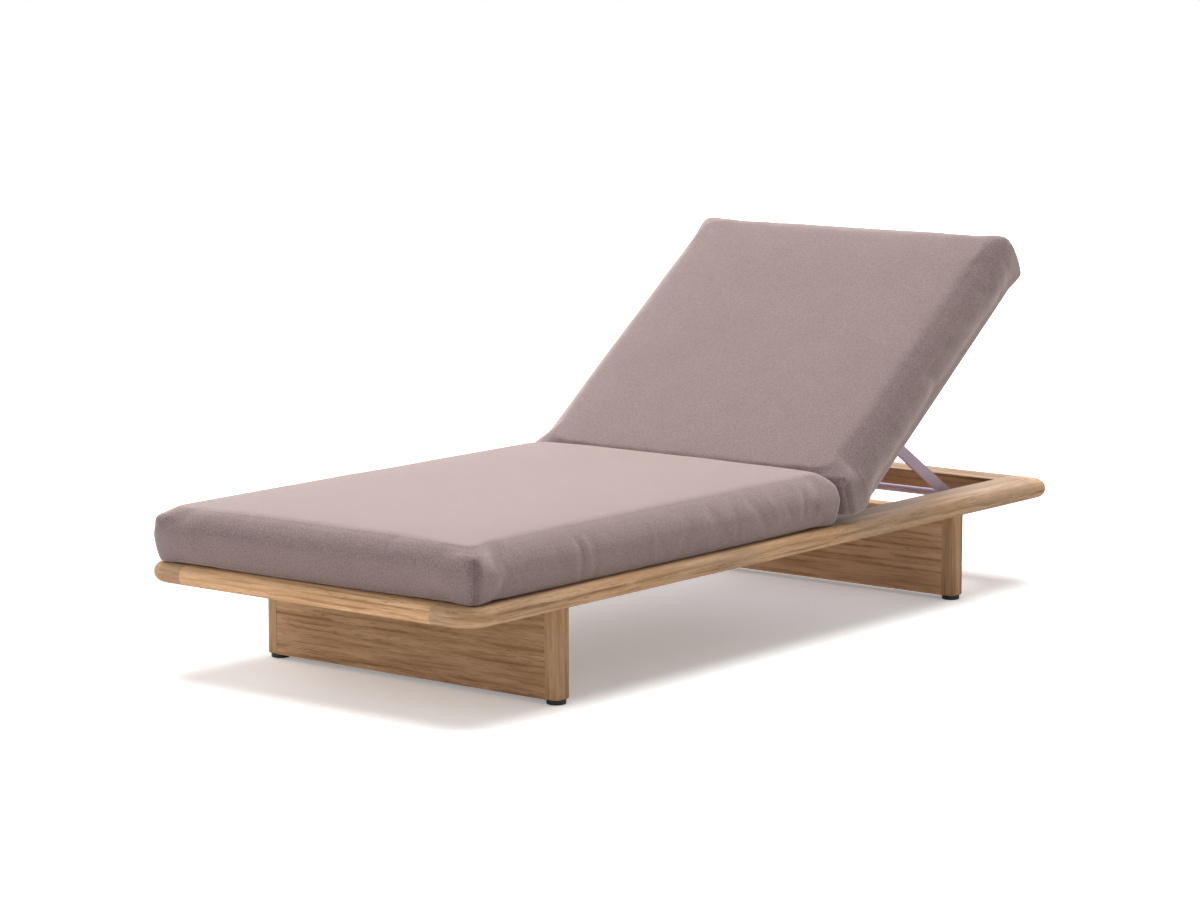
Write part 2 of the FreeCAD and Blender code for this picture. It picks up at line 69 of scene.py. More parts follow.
class Shader:               # a small builder, so that a material reads as a list of its layers
    def __init__(self, name):
        self.material = bpy.data.materials.new(name)
        self.material.use_nodes = True
        self.tree = self.material.node_tree
        self.tree.nodes.clear()
        self.output = self.tree.nodes.new("ShaderNodeOutputMaterial")

    def link(self, value, socket):
        if isinstance(value, bpy.types.NodeSocket):
            self.tree.links.new(value, socket)
        else:
            socket.default_value = value

    def add(self, kind, inputs, output=0, **settings):
        node = self.tree.nodes.new("ShaderNode" + kind)
        for key, value in settings.items():
            setattr(node, key, value)
        for key, value in inputs.items():
            self.link(value, node.inputs[key])
        return node.outputs[output]

    def coords(self, turn=(0, 0, 0), scale=(1, 1, 1), shift=(0, 0, 0)):
        place = self.add("TexCoord", {}, "Object")
        return self.add("Mapping", {"Vector": place, "Rotation": turn, "Scale": scale, "Location": shift})

    def noise(self, vector, scale, detail=3.0, roughness=0.5, distortion=0.0):
        return self.add("TexNoise", {"Vector": vector, "Scale": scale, "Detail": detail,
                                     "Roughness": roughness, "Distortion": distortion})

    def ramp(self, value, low, high, bottom=0.0, top=1.0):
        return self.add("MapRange", {"Value": value, "From Min": low, "From Max": high,
                                     "To Min": bottom, "To Max": top}, interpolation_type="SMOOTHSTEP")

    def mix(self, share, first, second):
        node = self.tree.nodes.new("ShaderNodeMix")
        node.data_type = "RGBA"
        self.link(share, node.inputs[0])
        self.link(first, node.inputs[6])
        self.link(second, node.inputs[7])
        return node.outputs[2]

    def math(self, operation, first, second=0.0):
        return self.add("Math", {0: first, 1: second}, operation=operation)

    def surface(self, inputs):
        shader = self.add("BsdfPrincipled", inputs)
        self.tree.links.new(shader, self.output.inputs["Surface"])
        return self.material


# teak: growth lines that wander along each board, short dark pores and a dry, lightly weathered surface

teak = {
    "light": (206, 167, 128), "middle": (184, 143, 104), "dark": (122, 86, 54),
    "weathered": (148, 128, 110), "pore": (92, 64, 40),
    "grainStretch": 18.0, "streakScale": 95.0, "driftScale": 7.0, "broadScale": 22.0, "patchScale": 3.2,
    "linePitch": 0.011, "lineLean": (0.55, 0.84), "lineStrength": 0.6, "greyStrength": 0.55,
    "poreScale": 420.0, "fibreScale": 756.0, "poreSqueeze": 0.07, "poreDepth": 0.00018, "fibreRelief": 0.35,
    "fibreContrast": (0.93, 1.07), "fadeReach": 0.35, "roughness": 0.70, "specular": 0.25,
}
grainTurns = {"x": (0, 0, 0), "y": (0, 0, math.radians(-90)), "z": (0, math.radians(90), 0)}
ringCorner = {      # the side rails' grain turns here, with a grey strip on the top where it does
    "radius": 0.058, "greyStrip": (-0.012, 0.012), "topSkin": (0.004, 0.001),
}


def grainRoundCorners(s, shift):
    # runs along the side rail, then follows it round both of its corners, at a steady depth from the outside
    split = s.add("SeparateXYZ", {"Vector": s.add("TexCoord", {}, "Object")}, "X").node
    side, end = s.math("ABSOLUTE", split.outputs["X"]), s.math("ABSOLUTE", split.outputs["Y"])
    radius = ringCorner["radius"]
    centreX, centreY = ringHalfWidth - radius, ringHalfLength - radius
    out, beyond = s.math("SUBTRACT", side, centreX), s.math("SUBTRACT", end, centreY)
    outward, onward = s.math("MAXIMUM", out, 0.0), s.math("MAXIMUM", beyond, 0.0)
    across = s.math("ADD", s.math("SQRT", s.math("ADD", s.math("MULTIPLY", outward, outward),
                                                 s.math("MULTIPLY", onward, onward))),
                    s.math("MINIMUM", s.math("MAXIMUM", out, beyond), 0.0))
    inEnd = s.math("GREATER_THAN", beyond, out)
    turned = s.math("MULTIPLY", s.math("ARCTAN2", onward, outward), radius)
    travel = s.math("ADD", s.math("ADD", s.math("MINIMUM", end, centreY), turned),
                    s.math("MULTIPLY", inEnd, s.math("MAXIMUM", s.math("SUBTRACT", centreX, side), 0.0)))
    along = s.math("MULTIPLY", travel, s.math("SIGN", split.outputs["Y"]))
    place = s.add("CombineXYZ", {"X": along, "Y": across, "Z": split.outputs["Z"]})
    strip = s.ramp(across, ringCorner["greyStrip"][0], ringCorner["greyStrip"][1], 1.0, 0.0)
    onTop = s.ramp(split.outputs["Z"], ringTop - ringCorner["topSkin"][0], ringTop - ringCorner["topSkin"][1])
    return s.add("VectorMath", {0: place, 1: shift}, operation="ADD"), s.math("MULTIPLY", strip, onTop)


def makeTeak(name, along, shift=(0, 0, 0), toneAndShade=1.0, weathering=0.25, figure=5.0, flecks=0.45, fade=0.0):
    # grain runs along one axis or round the ring; toneAndShade, shift and figure set one board apart from the
    # next. toneAndShade also darkens some boards as painted shade, and fade paints light falling off along a
    # board
    s = Shader(name)
    greyEdge = 0.0
    if along == "round":
        board, greyEdge = grainRoundCorners(s, shift)
    else:
        board = s.coords(turn=grainTurns[along], shift=shift)
    slow = s.add("VectorMath", {0: board, 1: (1 / teak["grainStretch"], 1, 1)}, operation="MULTIPLY")
    split = s.add("SeparateXYZ", {"Vector": board}, "X").node
    drift = s.noise(slow, teak["driftScale"], 2.0)
    lean = s.math("ADD", s.math("MULTIPLY", split.outputs["Y"], teak["lineLean"][0]),
                  s.math("MULTIPLY", split.outputs["Z"], teak["lineLean"][1]))
    phase = s.math("ADD", s.math("MULTIPLY", lean, 2 * math.pi / teak["linePitch"]),
                   s.math("MULTIPLY", drift, 2 * math.pi * figure))
    lines = s.ramp(s.math("SINE", phase), -0.2, 1.0)
    streaks = s.noise(slow, teak["streakScale"], 4.0, 0.62, 0.3)
    fine = s.add("VectorMath", {0: board, 1: (teak["poreSqueeze"], 1, 1)}, operation="MULTIPLY")
    fibres = s.noise(fine, teak["fibreScale"], 2.0, 0.7)
    pores = s.noise(fine, teak["poreScale"], 2.0, 0.6)
    broad = s.noise(slow, teak["broadScale"], 2.0)
    patches = s.noise(board, teak["patchScale"], 2.0)

    colour = s.mix(s.ramp(streaks, 0.34, 0.66), linear(teak["light"]), linear(teak["middle"]))
    lineShare = s.math("MULTIPLY", s.math("MULTIPLY", lines, s.ramp(streaks, 0.38, 0.62)),
                       s.ramp(broad, 0.3, 0.6, 0.35, 1.0))
    colour = s.mix(s.math("MULTIPLY", lineShare, teak["lineStrength"]), colour, linear(teak["dark"]))
    greyed = s.math("MULTIPLY", s.ramp(patches, 0.35, 0.7), weathering)
    colour = s.mix(greyed, colour, linear(teak["weathered"]))
    poreMask = s.math("MULTIPLY", s.ramp(pores, 0.57, 0.66), s.ramp(broad, 0.35, 0.62, 0.25, 1.0))
    colour = s.mix(s.math("MULTIPLY", poreMask, flecks), colour, linear(teak["pore"]))
    colour = s.mix(s.math("MULTIPLY", greyEdge, teak["greyStrength"]), colour, linear(teak["weathered"]))
    dull, bright = teak["fibreContrast"]
    reach = teak["fadeReach"]
    # value: fibre contrast times toneAndShade, times the painted light of fade, lighter at one end of the board
    # and darker at the other
    value = s.math("MULTIPLY", s.ramp(fibres, 0.3, 0.7, dull * toneAndShade, bright * toneAndShade),
                   s.ramp(split.outputs["X"], shift[0] - reach, shift[0] + reach, 1.0 + fade, 1.0 - fade))
    shade = s.add("HueSaturation", {"Color": colour, "Value": value})
    height = s.math("SUBTRACT", s.math("MULTIPLY", fibres, teak["fibreRelief"]), poreMask)
    bump = s.add("Bump", {"Height": height, "Distance": teak["poreDepth"], "Strength": 0.6})
    rough = s.ramp(streaks, 0.3, 0.7, teak["roughness"] - 0.05, teak["roughness"] + 0.08)
    return s.surface({"Base Color": shade, "Roughness": rough, "Normal": bump,
                      "Specular IOR Level": teak["specular"]})


# powder coat, plastic and steel

coat = {"colour": (186, 166, 186), "roughness": 0.48, "wearScale": 6.0, "orangePeel": 900.0, "depth": 0.00004}
plastic = {"colour": (26, 25, 26), "roughness": 0.42, "scuffScale": 60.0, "grain": 1500.0, "depth": 0.00003}
steel = {"colour": (176, 174, 170), "roughness": 0.32, "brush": 700.0, "brushSqueeze": 8, "depth": 0.00002}


def makeCoat():
    s = Shader("lilacPowderCoat")
    place = s.coords()
    peel = s.noise(place, coat["orangePeel"], 2.0)
    drift = s.noise(place, coat["wearScale"], 2.0)
    worn = s.mix(s.ramp(drift, 0.3, 0.7), linear(coat["colour"]), linear([c * 0.95 for c in coat["colour"]]))
    bump = s.add("Bump", {"Height": peel, "Distance": coat["depth"], "Strength": 0.7})
    rough = s.ramp(drift, 0.3, 0.7, coat["roughness"] - 0.05, coat["roughness"] + 0.07)
    return s.surface({"Base Color": worn, "Roughness": rough, "Normal": bump})


def makePlastic():
    s = Shader("blackGlidePlastic")
    place = s.coords()
    grain = s.noise(place, plastic["grain"], 2.0)
    scuffs = s.noise(place, plastic["scuffScale"], 4.0, 0.65)
    paler = linear([c * 1.7 for c in plastic["colour"]])
    colour = s.mix(s.ramp(scuffs, 0.55, 0.8), linear(plastic["colour"]), paler)
    bump = s.add("Bump", {"Height": grain, "Distance": plastic["depth"], "Strength": 0.6})
    rough = s.ramp(scuffs, 0.3, 0.8, plastic["roughness"] - 0.06, plastic["roughness"] + 0.15)
    return s.surface({"Base Color": colour, "Roughness": rough, "Normal": bump})


def makeSteel():
    s = Shader("stainlessSteel")
    place = s.coords(scale=(1, steel["brushSqueeze"], steel["brushSqueeze"]))
    brush = s.noise(place, steel["brush"], 2.0)
    darker = linear([c * 0.9 for c in steel["colour"]])
    colour = s.mix(s.ramp(brush, 0.3, 0.7), linear(steel["colour"]), darker)
    bump = s.add("Bump", {"Height": brush, "Distance": steel["depth"], "Strength": 0.5})
    rough = s.ramp(brush, 0.3, 0.7, steel["roughness"] - 0.06, steel["roughness"] + 0.08)
    return s.surface({"Base Color": colour, "Metallic": 1.0, "Roughness": rough, "Normal": bump})


# woven outdoor fabric: plain weave with a melange of lighter and darker yarns, painted shade as a darker line
# along each seam's crease, and a painted shade band beside each corner seam

fabric = {
    "colour": (122, 103, 103), "lightYarn": (148, 129, 126), "darkYarn": (96, 77, 80), "colourShare": 0.25,
    "pitch": 0.0016, "weaveShade": 0.12, "weaveDepth": 0.0005,
    "melangeScale": 300.0, "melangeRelief": 0.8, "mottleScale": 14.0, "mottleContrast": (0.97, 1.03),
    "roughness": 0.92, "specular": 0.2, "sheen": 1.0, "sheenRoughness": 0.52, "sheenTint": (240, 222, 216),
    # the seam line: the width of its painted shade, the shade's colour and its share
    "seamLine": 0.0014, "seamShadeColour": (72, 54, 58), "seamShadeShare": 0.4,
    # a band of painted shade on the side beside each corner seam: where it starts, where it ends, and how dark
    # it is
    "cornerShadeFrom": (0.0, 0.004), "cornerShadeTo": (0.020, 0.034), "cornerShadeValue": 0.88,
}
seamInset = 0.3         # the corner seam lies this share of the corner's radius in from its square corner


def middleAndHalf(pad):
    return (pad["high"] + pad["low"]) / 2, (pad["high"] - pad["low"]) / 2


def makeFabric(name, pad):
    s = Shader(name)
    place = s.add("Attribute", {}, "Vector", attribute_name="flatPlace")
    split = s.add("SeparateXYZ", {"Vector": place}, "X").node
    turns = 2 * math.pi / fabric["pitch"]
    waves = [s.math("SINE", s.math("MULTIPLY", split.outputs[i], turns)) for i in range(3)]
    weave = s.math("MULTIPLY", s.math("ADD", s.math("ADD", waves[0], waves[1]), waves[2]), 0.25)
    melange = s.noise(place, fabric["melangeScale"], 4.0, 0.8)
    mottle = s.noise(place, fabric["mottleScale"], 3.0, 0.6)
    colour = s.mix(s.ramp(melange, 0.3, 0.7), linear(fabric["darkYarn"]), linear(fabric["lightYarn"]))
    colour = s.mix(fabric["colourShare"], colour, linear(fabric["colour"]))
    shadow = s.math("MULTIPLY", s.ramp(weave, -0.5, 0.1, 1.0, 0.0), fabric["weaveShade"])
    colour = s.mix(shadow, colour, linear(fabric["darkYarn"]))
    mottled = s.ramp(mottle, 0.3, 0.7, *fabric["mottleContrast"])
    colour = s.add("HueSaturation", {"Color": colour, "Value": mottled})

    middle, halfLength = middleAndHalf(pad)         # the corner seams, found from the piece's own flat places
    inset = seamInset * pad["cornerRadius"]
    beside = s.math("ABSOLUTE", split.outputs[0])
    beyond = s.math("ABSOLUTE", s.math("SUBTRACT", split.outputs[1], middle))
    across = s.math("SUBTRACT", s.math("SUBTRACT", beside, beyond),
                    pad["halfWidth"] - inset - (halfLength - inset))
    rise = s.math("SUBTRACT", split.outputs[2], ringTop + pad["seamTop"])
    line = fabric["seamLine"]
    onSeam = s.ramp(s.math("ABSOLUTE", across), 0.5 * line, 2.0 * line, 1.0, 0.0)
    below = s.ramp(rise, -0.002, 0.002, 1.0, 0.0)
    onArm = s.ramp(s.math("ABSOLUTE", rise), 0.4 * line, 1.3 * line, 1.0, 0.0)
    inArm = s.ramp(s.math("ABSOLUTE", across), 0.5 * pad["seamArm"], 1.5 * pad["seamArm"], 1.0, 0.0)
    offFoot = s.ramp(split.outputs[2], ringTop + 0.003, ringTop + 0.008)
    seam = s.math("MAXIMUM", s.math("MULTIPLY", s.math("MULTIPLY", onSeam, below), offFoot),
                  s.math("MULTIPLY", onArm, inArm))
    # painted shade in the seam's crease and in the pinch at the top of its arms
    colour = s.mix(s.math("MULTIPLY", seam, fabric["seamShadeShare"]), colour, linear(fabric["seamShadeColour"]))
    # painted shade in a band on the side just round each corner seam, below the seam's top
    band = s.math("MULTIPLY", s.ramp(across, *fabric["cornerShadeFrom"]), s.ramp(across, *fabric["cornerShadeTo"], 1.0, 0.0))
    cornerShade = s.math("MULTIPLY", s.math("MULTIPLY", band, s.ramp(rise, -0.012, 0.006, 1.0, 0.0)), offFoot)
    shade = s.ramp(cornerShade, 0.0, 1.0, 1.0, fabric["cornerShadeValue"])
    colour = s.add("HueSaturation", {"Color": colour, "Value": shade})

    height = s.math("ADD", weave, s.math("MULTIPLY", melange, fabric["melangeRelief"]))
    bump = s.add("Bump", {"Height": height, "Distance": fabric["weaveDepth"], "Strength": 0.55})
    return s.surface({"Base Color": colour, "Roughness": fabric["roughness"], "Normal": bump,
                      "Specular IOR Level": fabric["specular"], "Sheen Weight": fabric["sheen"],
                      "Sheen Roughness": fabric["sheenRoughness"], "Sheen Tint": linear(fabric["sheenTint"])})


def dress(name, material):
    mesh = nodes[name].data
    mesh.materials.clear()
    mesh.materials.append(material)


def dressFrame():
    # every CAD piece gets its finish, and each board has its own stretch of grain
    coatFinish, plasticFinish, steelFinish = makeCoat(), makePlastic(), makeSteel()
    steelNames = ("slat_screws", "ledger_screws", "fitting_screws", "rest_screws", "hinge_pins",
                  "prop_pivots", "glide_inserts")
    boards = {      # grain axis, shift, tone and painted shade, weathering, figure, flecks, painted light fading towards one end
        "side_rail_right": ("round", (0.3, 0.11, 0.0), 0.93, 0.45, 3.0, 0.5, 0.0),
        "side_rail_left": ("round", (1.7, 0.53, 0.2), 0.93, 0.4, 3.0, 0.5, 0.0),
        "front_rail": ("x", (0.9, 0.31, 0.4), 1.12, 0.0, 4.0, 0.5, 0.0),
        # painted shade: the rear rail's low tone stands for the shade under the back cushion
        "rear_rail": ("x", (2.1, 0.77, 0.1), 0.62, 0.4, 3.0, 0.4, 0.0),
        "mid_rail": ("x", (0.4, 0.9, 0.3), 1.0, 0.2, 3.0, 0.4, 0.0),
        # painted light: the front leg panel's fade makes it lighter at its left end and darker at its right, as
        # if lit from the left
        "front_leg_panel": ("x", (1.3, 0.2, 0.07), 0.88, 0.0, 10.0, 0.5, 0.09),
        "rear_leg_panel": ("x", (3.3, 0.6, 0.47), 1.26, 0.2, 6.0, 0.3, 0.0),
    }
    for i, name in enumerate(sorted(nodes)):
        ownGrain = (0.37 * i, 0.21 * i, 0.13 * i)
        if name in boards:
            dress(name, makeTeak("teak_" + name, *boards[name]))
        elif "leg_post" in name or name == "leg_dowels":
            dress(name, makeTeak("teak_" + name, "z", ownGrain, 0.86, 0.15, 4.0))
        elif name.startswith("seat_slat"):
            dress(name, makeTeak("teak_" + name, "x", ownGrain, 1.0, 0.2))
        elif name.startswith("seat_ledger"):
            dress(name, makeTeak("teak_" + name, "y", ownGrain, 1.0, 0.2))
        elif name in steelNames:
            dress(name, steelFinish)
        elif name in ("tube_plugs", "pivot_washers") or name.startswith(("glide_", "backrest_rest")):
            dress(name, plasticFinish)
        elif not name.endswith("cushion"):
            dress(name, coatFinish)
    print("frame dressed")


# cushions: a boxed foam pad in a sewn cover, blown up a little, then creased and seamed at its corners

seatPad = {
    "name": "seatCushion", "node": "seat_cushion",
    "low": -0.987, "high": 0.199, "halfWidth": 0.4085, "height": 0.1005,
    "cornerRadius": 0.018, "topRound": 0.046, "lowTopRound": 0.044, "footRound": 0.009,
    "cornerReach": 0.09, "sharpLow": 0.60, "sharpHigh": 0.10, "crown": 0.015, "lowCrown": 1.0,
    "endPull": 0.006, "lowPull": 0.006, "sidePull": 0.002, "footTuck": 0.009,
    "lowLean": 0.0, "lowRise": 0.0, "skew": 0.007,
    "voxel": 0.006, "pressure": 4.0, "travel": 0.006, "calm": 12,
    "seamTop": 0.088, "seamArm": 0.020, "seamDepth": 0.0011, "seamWidth": 0.0042, "lips": 0.0002,
    "folds": 30, "foldDepth": 0.0007, "foldSeed": 11,
    "creases": [        # from, to, width, depth on the right-hand side
        ((0.404, -0.668, 0.085), (0.404, -0.652, 0.012), 0.009, 0.0013),
        ((0.404, -0.644, 0.080), (0.404, -0.626, 0.020), 0.010, -0.0008),
        ((0.404, -0.905, 0.080), (0.404, -0.912, 0.014), 0.014, -0.0004),
        ((0.404, -0.250, 0.080), (0.404, -0.205, 0.030), 0.014, 0.0010),
        ((0.404, -0.120, 0.085), (0.404, -0.070, 0.028), 0.012, 0.0012),
        ((0.404, -0.060, 0.080), (0.404, -0.030, 0.040), 0.010, -0.0008),
    ],
}
backPad = {
    "name": "backCushion", "node": "back_cushion",
    "low": 0.220, "high": 1.054, "halfWidth": 0.4155, "height": 0.118,
    "cornerRadius": 0.018, "topRound": 0.032, "lowTopRound": 0.008, "footRound": 0.012,
    "cornerReach": 0.10, "sharpLow": 0.70, "sharpHigh": 0.0, "crown": 0.010, "lowCrown": 0.0,
    "endPull": 0.004, "lowPull": 0.028, "sidePull": 0.002, "footTuck": 0.005,
    "lowLean": 0.028, "lowRise": 0.060, "skew": 0.0,
    "voxel": 0.006, "pressure": 4.0, "travel": 0.006, "calm": 12,
    "seamTop": 0.092, "seamArm": 0.020, "seamDepth": 0.0014, "seamWidth": 0.0042, "lips": 0.0002,
    "folds": 20, "foldDepth": 0.0007, "foldSeed": 5,
    "creases": [
        ((0.404, 0.620, 0.078), (0.404, 0.670, 0.020), 0.012, 0.0018),
        ((0.404, 0.660, 0.080), (0.404, 0.712, 0.022), 0.011, -0.0011),
        ((0.404, 0.705, 0.080), (0.404, 0.760, 0.024), 0.012, 0.0024),
        ((0.404, 0.750, 0.082), (0.404, 0.805, 0.026), 0.011, -0.0012),
        ((0.404, 0.795, 0.082), (0.404, 0.850, 0.024), 0.012, 0.0022),
        ((0.404, 0.425, 0.080), (0.404, 0.470, 0.024), 0.012, 0.0020),
        ((0.404, 0.880, 0.088), (0.404, 0.930, 0.030), 0.013, 0.0018),
    ],
}
padForm = {         # how the shaping of both pads fades out; a zone is where it starts and how wide it is
    "endZone": (0.80, 0.20), "sideZone": (0.75, 0.25), "cornerFade": 1.5, "pullPower": 8, "crownPower": 4,
    "tuckHeight": 0.60, "tuckPower": 1.6, "riseReach": 0.10, "risePower": 1.5, "leanPower": 0.5,
    "roundSegments": 8,
}
cover = {           # the cloth, how its movement is evened out and held, and how uneven it ends up
    "frames": 20, "quality": 3, "mass": 0.3, "stretch": 12, "bend": 0.6, "shrink": -0.012,
    "ownShare": 0.4, "neighbourShare": 0.6, "cornerHold": 0.85, "holdReach": 0.09, "footGap": 0.0003,
    "unevenScale": 7.0, "unevenDepth": 0.0009, "unevenFrom": 0.02, "quickShare": 0.2,
}
stitch = {          # around each corner seam; the spreads are in widths of the seam or lengths of its arm
    "zone": 0.06, "spread": 1.4, "topSpread": 0.4, "armSpread": 1.4, "armDepth": 0.7,
    "lipPlace": 0.020, "lipWidth": 0.012,
}
looseFolds = {      # what the random folds are drawn from; reaches and heights are shares of the pad's own
    "sideReach": 0.92, "endReach": 0.85, "top": (0.6, 0.95), "foot": (0.08, 0.35), "slant": (-0.03, 0.05),
    "strength": (0.5, 1.2), "ridge": -0.7, "width": (0.008, 0.016), "endWidth": (0.010, 0.018), "endShare": 0.6,
}


def padBlank(pad):
    # a box whose edges are rounded by their own weights: uprights, top edge, low end's top edge and foot
    bm = bmesh.new()
    bmesh.ops.create_cube(bm, size=1.0)
    size = Vector((2 * pad["halfWidth"], pad["high"] - pad["low"], pad["height"]))
    centre = Vector((0, (pad["high"] + pad["low"]) / 2, ringTop + pad["height"] / 2))
    bmesh.ops.scale(bm, vec=size, verts=bm.verts)
    bmesh.ops.translate(bm, vec=centre, verts=bm.verts)
    weight = bm.edges.layers.float.new("bevel_weight_edge")
    for edge in bm.edges:
        low, high = sorted((v.co for v in edge.verts), key=lambda c: c.z)
        if high.z - low.z > 0.5 * pad["height"]:
            radius = pad["cornerRadius"]
        elif low.z < centre.z:
            radius = pad["footRound"]
        elif max(low.y, high.y) < centre.y:
            radius = pad["lowTopRound"]
        else:
            radius = pad["topRound"]
        edge[weight] = radius / pad["topRound"]
    mesh = bpy.data.meshes.new(pad["name"])
    bm.to_mesh(mesh)
    bm.free()
    piece = bpy.data.objects.new(pad["name"], mesh)
    scene.collection.objects.link(piece)
    rounds = piece.modifiers.new("rounds", "BEVEL")
    rounds.limit_method = "WEIGHT"
    rounds.width = pad["topRound"]
    rounds.segments = padForm["roundSegments"]
    rounds.use_clamp_overlap = False
    return piece


def bakeModifiers(piece):
    # the evaluated mesh, as it is at this frame, takes the place of the plain one
    graph = bpy.context.evaluated_depsgraph_get()
    baked = bpy.data.meshes.new_from_object(piece.evaluated_get(graph), depsgraph=graph)
    piece.modifiers.clear()
    piece.data = baked


def readPoints(mesh, field="co"):
    values = np.empty(3 * len(mesh.vertices), dtype=np.float32)
    mesh.vertices.foreach_get(field, values)
    return values.reshape(-1, 3).astype(np.float64)


def writePoints(mesh, points):
    mesh.vertices.foreach_set("co", points.astype(np.float32).ravel())
    mesh.update()


def towardsSquare(first, second, share):
    # how far a rounded profile is scaled out towards its square corner, past the centre of its round
    both = (first > 0) & (second > 0)
    grow = np.hypot(first, second) / np.maximum(np.maximum(first, second), 1e-6)
    return np.where(both, 1 + share * (grow - 1), 1)


def shapePlan(points, pad):
    # the top edge gets sharper towards the corners, the ends and sides stand a little proud of them and
    # tuck in towards the foot, the top is crowned, and the low end may run askew, lift its foot and lean
    middle, halfLength = middleAndHalf(pad)
    x, y, z = points[:, 0].copy(), points[:, 1] - middle, points[:, 2].copy()
    top = ringTop + pad["height"]
    side, end = np.abs(x), np.abs(y)
    edge = pad["topRound"]
    endEdge = np.where(y < 0, pad["lowTopRound"], pad["topRound"])
    sharp = np.where(y < 0, pad["sharpLow"], pad["sharpHigh"])
    fade = padForm["cornerFade"]
    nearEnd = np.clip(1 - (halfLength - end) / pad["cornerReach"], 0, 1) ** fade * sharp
    grow = towardsSquare(side - (pad["halfWidth"] - edge), z - (top - edge), nearEnd)
    newX = np.where(grow > 1, pad["halfWidth"] - edge + (side - pad["halfWidth"] + edge) * grow, side)
    liftSide = np.where(grow > 1, top - edge + (z - top + edge) * grow, z)
    nearSide = np.clip(1 - (pad["halfWidth"] - side) / pad["cornerReach"], 0, 1) ** fade * sharp
    grow = towardsSquare(end - (halfLength - endEdge), z - (top - endEdge), nearSide)
    newY = np.where(grow > 1, halfLength - endEdge + (end - halfLength + endEdge) * grow, end)
    liftEnd = np.where(grow > 1, top - endEdge + (z - top + endEdge) * grow, z)
    points[:, 0] = np.sign(x) * newX
    points[:, 1] = np.sign(y) * newY + middle
    points[:, 2] = np.maximum(liftSide, liftEnd)

    across = points[:, 0] / pad["halfWidth"]
    along = (points[:, 1] - middle) / halfLength
    height = np.clip((points[:, 2] - ringTop) / pad["height"], 0, 1)
    nearEnd = np.clip((np.abs(along) - padForm["endZone"][0]) / padForm["endZone"][1], 0, 1)
    nearSide = np.clip((np.abs(across) - padForm["sideZone"][0]) / padForm["sideZone"][1], 0, 1)
    power = padForm["pullPower"]
    pull = np.where(along < 0, pad["lowPull"], pad["endPull"])
    points[:, 1] -= np.sign(along) * pull * np.abs(across) ** power * nearEnd
    points[:, 1] += pad["skew"] * across * nearEnd * (along < 0)
    points[:, 0] -= np.sign(across) * pad["sidePull"] * np.abs(along) ** power * nearSide
    tuck = pad["footTuck"] * np.clip(1 - height / padForm["tuckHeight"], 0, 1) ** padForm["tuckPower"]
    points[:, 0] -= np.sign(across) * tuck * nearSide
    points[:, 1] -= np.sign(along) * tuck * nearEnd
    flatter = np.where(along < 0, pad["lowCrown"], 1) * along ** power
    points[:, 2] += pad["crown"] * height * (1 - across ** padForm["crownPower"]) * (1 - flatter)
    fromLow = np.clip(1 - (points[:, 1] - pad["low"]) / padForm["riseReach"], 0, 1)
    points[:, 2] += pad["lowRise"] * (1 - height) ** padForm["risePower"] * fromLow ** 2
    low = np.clip(-along, 0, 1) ** padForm["leanPower"]
    points[:, 1] += pad["lowLean"] * height * low
    return points


def evenOut(mesh, values, rounds):
    # every point takes the mean of its own value and its neighbours', which leaves only the broad folds
    ends = np.empty(2 * len(mesh.edges), dtype=np.int32)
    mesh.edges.foreach_get("vertices", ends)
    first, second = ends[0::2], ends[1::2]
    count = np.bincount(ends, minlength=len(values))[:, None]
    for i in range(rounds):
        total = np.stack([np.bincount(first, values[second, axis], len(values))
                          + np.bincount(second, values[first, axis], len(values)) for axis in range(3)], axis=1)
        values = cover["ownShare"] * values + cover["neighbourShare"] * total / np.maximum(count, 1)
    return values


def inflate(piece, pad):
    # cloth under pressure, with every point held to a short travel and the foot kept above its plane
    remesh = piece.modifiers.new("remesh", "REMESH")
    remesh.mode = "VOXEL"
    remesh.voxel_size = pad["voxel"]
    bakeModifiers(piece)
    flat = readPoints(piece.data)
    before = shapePlan(flat.copy(), pad)
    writePoints(piece.data, before)
    cloth = piece.modifiers.new("cloth", "CLOTH")
    cloth.settings.quality = cover["quality"]
    cloth.settings.mass = cover["mass"]
    cloth.settings.tension_stiffness = cover["stretch"]
    cloth.settings.compression_stiffness = cover["stretch"]
    cloth.settings.bending_stiffness = cover["bend"]
    cloth.settings.use_pressure = True
    cloth.settings.uniform_pressure_force = pad["pressure"]
    cloth.settings.shrink_min = cover["shrink"]
    cloth.settings.effector_weights.gravity = 0
    cloth.point_cache.frame_end = cover["frames"]
    for step in range(1, cover["frames"] + 1):
        scene.frame_set(step)
    bakeModifiers(piece)
    scene.frame_set(1)
    after = readPoints(piece.data)
    move = evenOut(piece.data, after - before, pad["calm"])
    middle, halfLength = middleAndHalf(pad)
    fromCorner = np.hypot(pad["halfWidth"] - np.abs(flat[:, 0]), halfLength - np.abs(flat[:, 1] - middle))
    held = np.exp(-(fromCorner[:, None] / cover["holdReach"]) ** 2)     # the seams hold the corners
    move *= 1 - cover["cornerHold"] * held
    length = np.linalg.norm(move, axis=1, keepdims=True)
    after = before + move * np.minimum(1, pad["travel"] / np.maximum(length, 1e-9))
    after[:, 2] = np.maximum(after[:, 2], ringTop + cover["footGap"])
    writePoints(piece.data, after)
    place = piece.data.attributes.new("flatPlace", "FLOAT_VECTOR", "POINT")
    place.data.foreach_set("vector", flat.astype(np.float32).ravel())
    divide = piece.modifiers.new("divide", "SUBSURF")
    divide.levels = divide.render_levels = 1
    bakeModifiers(piece)
    print(pad["name"], "inflated:", len(piece.data.vertices), "points")


def alongSegment(points, start, end):
    # distance of every point from a line between two places
    start, end = np.array(start), np.array(end)
    run = end - start
    share = np.clip(((points - start) @ run) / (run @ run), 0, 1)
    return np.linalg.norm(points - start - share[:, None] * run, axis=1)


